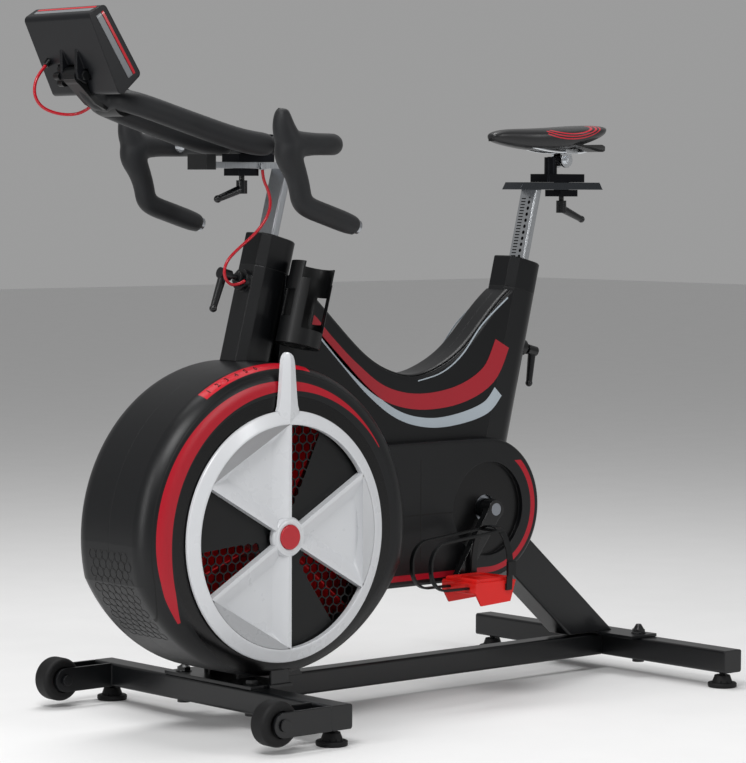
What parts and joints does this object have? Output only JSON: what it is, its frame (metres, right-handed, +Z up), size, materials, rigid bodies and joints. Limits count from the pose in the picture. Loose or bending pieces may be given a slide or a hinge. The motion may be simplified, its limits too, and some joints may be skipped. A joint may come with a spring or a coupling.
{
  "type": "exercise bike",
  "caption": "Indoor training bike with a fan resistance unit, chain drive, adjustable handlebar with padded extensions, tilting monitor and sliding saddle.",
  "frame": {"origin": "on the floor under the middle of the machine's length and width, free cables left out", "axes": "+X forward towards the handlebar, +Y to the rider's left, +Z up"},
  "size_m": [1.3707, 0.702, 1.2658],
  "materials": {
    "frame_paint": "satin",
    "inner_steel": "plain",
    "collar_plastic": "satin",
    "cover_plastic": "satin",
    "housing_plastic": "fine texture",
    "vent_plastic": "satin",
    "bolt_steel": "black oxide",
    "chain_steel": "oiled",
    "crank_alloy": "satin black",
    "pedal_red": "satin",
    "clip_plastic": "satin",
    "fan_red": "satin",
    "disc_plastic": "semi-gloss",
    "cap_red": "gloss",
    "wheel_rubber": "matte",
    "post_steel": "brushed",
    "lever_metal": "satin black",
    "slider_metal": "satin",
    "bar_alloy": "plain",
    "foam": "closed-cell foam",
    "case_plastic": "satin",
    "screen_glass": "gloss",
    "saddle_skin": "smooth",
    "rail_chrome": "polished",
    "cable_red": "gloss",
    "foot_rubber": "matte"
  },
  "bodies": {
    "frame": {"base_beam": "frame_paint", "front_stabiliser": "frame_paint", "rear_stabiliser": "frame_paint", "rear_strut": "frame_paint", "frame_spine": "inner_steel", "head_tube": "frame_paint", "seat_tube": "frame_paint", "tube_collars": "collar_plastic", "left_frame_cover": "cover_plastic", "right_frame_cover": "cover_plastic", "left_chain_case": "cover_plastic", "right_chain_case": "cover_plastic", "bottom_bracket": "inner_steel", "left_fan_housing": "housing_plastic", "right_fan_housing": "housing_plastic", "vent_grilles": "vent_plastic", "fan_axle": "inner_steel", "bottle_cage": "cover_plastic", "frame_bolts": "bolt_steel", "chain": "chain_steel", "bar_cable": "cable_red"},
    "front_left_foot": {"front_left_foot": "foot_rubber"},
    "front_right_foot": {"front_right_foot": "foot_rubber"},
    "rear_left_foot": {"rear_left_foot": "foot_rubber"},
    "rear_right_foot": {"rear_right_foot": "foot_rubber"},
    "left_wheel": {"left_transport_wheel": "wheel_rubber"},
    "right_wheel": {"right_transport_wheel": "wheel_rubber"},
    "crankset": {"crank_axle": "inner_steel", "left_crank": "crank_alloy", "right_crank": "crank_alloy", "chainring": "chain_steel"},
    "left_pedal": {"left_pedal": "pedal_red", "left_toe_clip": "clip_plastic"},
    "right_pedal": {"right_pedal": "pedal_red", "right_toe_clip": "clip_plastic"},
    "fan": {"fan_wheel": "fan_red", "fan_sprocket": "chain_steel"},
    "air_disc": {"air_disc": "disc_plastic", "air_disc_cap": "cap_red"},
    "bar_post": {"bar_post": "post_steel"},
    "bar_height_lever": {"bar_height_lever": "lever_metal"},
    "handlebar": {"bar_slider": "slider_metal", "handlebar_tube": "bar_alloy", "bar_foam": "foam", "aero_bars": "foam", "monitor_riser": "case_plastic"},
    "bar_slide_lever": {"bar_slide_lever": "lever_metal"},
    "monitor": {"monitor_case": "case_plastic", "monitor_screen": "screen_glass", "monitor_cable": "cable_red", "monitor_plug": "case_plastic"},
    "monitor_knob": {"monitor_knob": "case_plastic"},
    "seat_post": {"seat_post": "post_steel"},
    "seat_height_lever": {"seat_height_lever": "lever_metal"},
    "saddle_slider": {"saddle_slider": "slider_metal"},
    "seat_slide_lever": {"seat_slide_lever": "lever_metal"},
    "saddle": {"saddle_cushion": "saddle_skin", "saddle_base": "case_plastic", "saddle_rails": "rail_chrome", "saddle_clamp": "rail_chrome"}
  },
  "joints": [
    {"name": "front_left_foot_screw", "type": "slide", "parent": "frame", "child": "front_left_foot", "axis": [0, 0, 1], "range_m": [-0.012, 0.005]},
    {"name": "front_right_foot_screw", "type": "slide", "parent": "frame", "child": "front_right_foot", "axis": [0, 0, 1], "range_m": [-0.012, 0.005]},
    {"name": "rear_left_foot_screw", "type": "slide", "parent": "frame", "child": "rear_left_foot", "axis": [0, 0, 1], "range_m": [-0.012, 0.005]},
    {"name": "rear_right_foot_screw", "type": "slide", "parent": "frame", "child": "rear_right_foot", "axis": [0, 0, 1], "range_m": [-0.012, 0.005]},
    {"name": "left_wheel_spin", "type": "hinge", "parent": "frame", "child": "left_wheel", "pos_m": [0.4643, 0.316, 0.052], "axis": [0, 1, 0], "continuous": true},
    {"name": "right_wheel_spin", "type": "hinge", "parent": "frame", "child": "right_wheel", "pos_m": [0.4643, -0.316, 0.052], "axis": [0, 1, 0], "continuous": true},
    {"name": "crank_spin", "type": "hinge", "parent": "frame", "child": "crankset", "pos_m": [-0.2757, 0, 0.351], "axis": [0, 1, 0], "continuous": true},
    {"name": "fan_spin", "type": "hinge", "parent": "frame", "child": "fan", "pos_m": [0.2979, 0, 0.345], "axis": [0, 1, 0], "continuous": true},
    {"name": "left_pedal_spin", "type": "hinge", "parent": "crankset", "child": "left_pedal", "pos_m": [-0.18035, 0.139, 0.21634], "axis": [0, 1, 0], "continuous": true},
    {"name": "right_pedal_spin", "type": "hinge", "parent": "crankset", "child": "right_pedal", "pos_m": [-0.37105, -0.139, 0.48566], "axis": [0, 1, 0], "continuous": true},
    {"name": "air_disc_turn", "type": "hinge", "parent": "frame", "child": "air_disc", "pos_m": [0.2979, 0.15, 0.345], "axis": [0, 1, 0], "range_deg": [-25, 35]},
    {"name": "bar_height", "type": "slide", "parent": "frame", "child": "bar_post", "axis": [-0.2588, 0, 0.9659], "range_m": [-0.05, 0.05], "deforming": ["bar_cable"]},
    {"name": "bar_height_lever_turn", "type": "hinge", "parent": "frame", "child": "bar_height_lever", "pos_m": [0.27509, 0, 0.79446], "axis": [0.9659, 0, 0.2588], "range_deg": [-100, 20]},
    {"name": "bar_reach", "type": "slide", "parent": "bar_post", "child": "handlebar", "axis": [1, 0, 0], "range_m": [-0.045, 0.045]},
    {"name": "bar_slide_lever_turn", "type": "hinge", "parent": "handlebar", "child": "bar_slide_lever", "pos_m": [0.2803, 0, 0.97], "axis": [0, 0, 1], "range_deg": [-100, 100]},
    {"name": "monitor_tilt", "type": "hinge", "parent": "handlebar", "child": "monitor", "pos_m": [0.6443, 0, 1.15], "axis": [0, 1, 0], "range_deg": [-10, 30], "deforming": ["monitor_cable"]},
    {"name": "monitor_knob_turn", "type": "hinge", "parent": "monitor", "child": "monitor_knob", "pos_m": [0.6443, -0.034, 1.15], "axis": [0, 1, 0], "range_deg": [-150, 150]},
    {"name": "seat_height", "type": "slide", "parent": "frame", "child": "seat_post", "axis": [-0.2419, 0, 0.9703], "range_m": [-0.1, 0.1]},
    {"name": "seat_height_lever_turn", "type": "hinge", "parent": "frame", "child": "seat_height_lever", "pos_m": [-0.4132, 0, 0.65417], "axis": [-0.9703, 0, -0.2419], "range_deg": [-100, 100]},
    {"name": "saddle_reach", "type": "slide", "parent": "seat_post", "child": "saddle_slider", "axis": [1, 0, 0], "range_m": [-0.055, 0.03]},
    {"name": "seat_slide_lever_turn", "type": "hinge", "parent": "saddle_slider", "child": "seat_slide_lever", "pos_m": [-0.5257, 0, 0.93], "axis": [0, 0, 1], "range_deg": [-100, 100]},
    {"name": "saddle_tilt", "type": "hinge", "parent": "saddle_slider", "child": "saddle", "pos_m": [-0.5257, 0, 1.017], "axis": [0, 1, 0], "range_deg": [-10, 10]}
  ],
  "couplings": [
    {"joint": "fan_spin", "follows": "crank_spin", "ratio": 3.7143}
  ]
}
